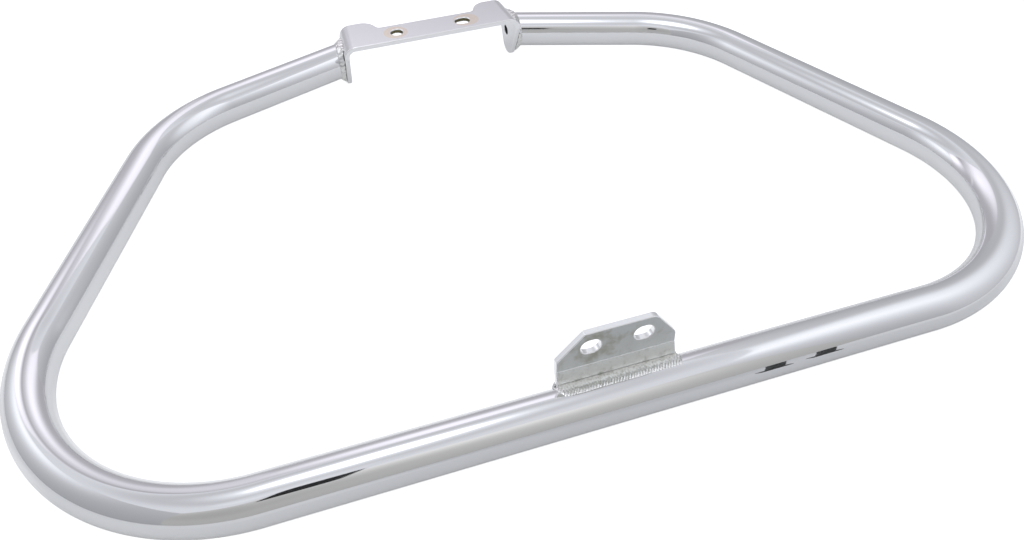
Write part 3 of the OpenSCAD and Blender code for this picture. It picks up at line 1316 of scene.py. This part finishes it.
    def lay_floor(self) -> None:
        """Lay the white floor under the rail and the two ear tips.

        The camera sees it lifted to white, and the chrome mirrors it with the floor lamps' glow on it:
        painted pools of light and painted shade that only reflections show.
        """
        floor = solid("plane", "studio_floor", 12.0)
        slope = (self.tip_z - self.floor_z) / self.tip_y
        for vert in floor.data.vertices:
            y_mm = vert.co.y / MM + TAB_BACK
            vert.co.z = (self.floor_z + slope * y_mm - SLOT_HEIGHT) * MM
        material, nodes = new_material("white_sweep")
        tone = nodes.mix(nodes.noise(nodes.where(), 3.0), "#d6d8d8", "#dadbdb")
        matte = nodes.add("BsdfDiffuse", {"Color": tone})
        rays = nodes.add("LightPath").outputs
        # painted light and shade on the floor, shown only to glossy rays
        painted_floor_light = self.lit(nodes, nodes.where_in_loop(), Wall.FLOOR, Wall.FLOOR.level)
        painted_light_in_reflections = nodes.math("MULTIPLY", painted_floor_light, rays["Is Glossy Ray"])
        lift = nodes.math("MULTIPLY_ADD", rays["Is Camera Ray"], 0.8, painted_light_in_reflections)
        glow = nodes.add("Emission", {"Color": linear(Wall.FLOOR.tint), "Strength": lift})
        both = nodes.add("AddShader", {0: matte.outputs[0], 1: glow.outputs[0]})
        nodes.add("OutputMaterial", {"Surface": both.outputs[0]})
        floor.data.materials.append(material)

    def stand_camera_body(self) -> None:
        """Stand the dark camera where the photograph was taken from, for the tube to mirror."""
        body = solid("cube", "camera_body")
        camera = bpy.context.scene.camera.matrix_world
        for vert in body.data.vertices:
            vert.co = camera @ Vector((vert.co.x * 0.105 - 0.028, vert.co.y * 0.15, vert.co.z * 0.07 + 0.05))
        apply_modifier(body, "BEVEL", width=0.02, segments=4)
        body.data.materials.append(Finish("black_camera_shell", "#1a1a1a", 0.6, metallic=0.0).material())
        self.hide_from_camera(body, lights=False)

    def stand_props(self) -> None:
        """Stand two small dark stops in front of the rail, which only the tube's mirror shows."""
        paint = Finish("dark_painted_stop", "#4a4b49", 0.5, metallic=0.0).material()
        parts = (("foot", 24.0, 12.0, -16.0, -13.0), ("post", 12.0, 8.0, -13.0, 6.0))
        for name, x, y in (("left_stop", 121.0, -58.0), ("right_stop", 161.0, -58.0)):
            for part, wide, deep, low, high in parts:
                stop = solid("cube", name + "_" + part)
                for vert in stop.data.vertices:
                    up = (low + high) / 2 + vert.co.z * (high - low)
                    vert.co = place(x + vert.co.x * wide, y + vert.co.y * deep, up)
                stop.data.materials.append(paint)
                self.hide_from_camera(stop, lights=False)

    def place_camera(self) -> None:
        """Put the camera where the photograph was taken from."""
        level = math.cos(self.pitch)
        ahead = Vector((math.sin(self.yaw) * level, math.cos(self.yaw) * level, -math.sin(self.pitch)))
        right = Vector((math.cos(self.yaw), -math.sin(self.yaw), 0))
        down = ahead.cross(right)
        turned_right = math.cos(self.roll) * right + math.sin(self.roll) * down
        turned_down = -math.sin(self.roll) * right + math.cos(self.roll) * down
        data = bpy.data.cameras.new("studio_camera")
        data.sensor_fit = "HORIZONTAL"
        data.sensor_width = self.sensor_mm
        data.lens = self.focal_px * self.sensor_mm / self.width_px
        data.clip_start = 0.01
        data.clip_end = 50.0
        camera = bpy.data.objects.new("studio_camera", data)
        bpy.context.scene.collection.objects.link(camera)
        axes = Matrix((turned_right, -turned_down, -ahead)).transposed()
        camera.matrix_world = Matrix.Translation(place(*self.eye)) @ axes.to_4x4()
        bpy.context.scene.camera = camera


def main() -> None:
    """Build the studio and every piece of the guard."""
    logging.basicConfig(level=logging.INFO, format="%(name)s: %(message)s")
    bpy.context.scene.view_settings.view_transform = "Standard"
    studio = Studio()
    studio.place_camera()
    studio.light()
    studio.lay_floor()
    studio.stand_camera_body()
    studio.stand_props()
    # painted shade: the bore is real unplated steel, but its near-black colour stands in for the shade
    # inside the tube
    bore = BareSteel("drawn_steel_bore", "#4a4a48", 0.5)
    edge = EdgeChrome().material()
    weld = WeldChrome().material()
    GuardTube().build(MirrorChrome().material(), bore.material())
    SaddleBracket().build(PlateChrome().material(), BareSteel().material(), edge)
    LowerTab().build(TabChrome().material(), edge)
    front_toes = (-0.9, 15.85), (9.87, 14.35)
    rear_toes = (15.4, 3.95), (14.59, 14.07)
    TabBead("front_bead", "tab_weld_front", *front_toes, root=(9.28, 12.86), crown=0.9).build(weld)
    TabBead("rear_bead", "tab_weld_rear", *rear_toes, root=(12.76, 9.42), crown=0.7).build(weld)
    RingWeld("left_ring_weld", "saddle_weld_left", -1).build(weld)
    RingWeld("right_ring_weld", "saddle_weld_right", 1).build(weld)


if __name__ == "__main__":
    main()
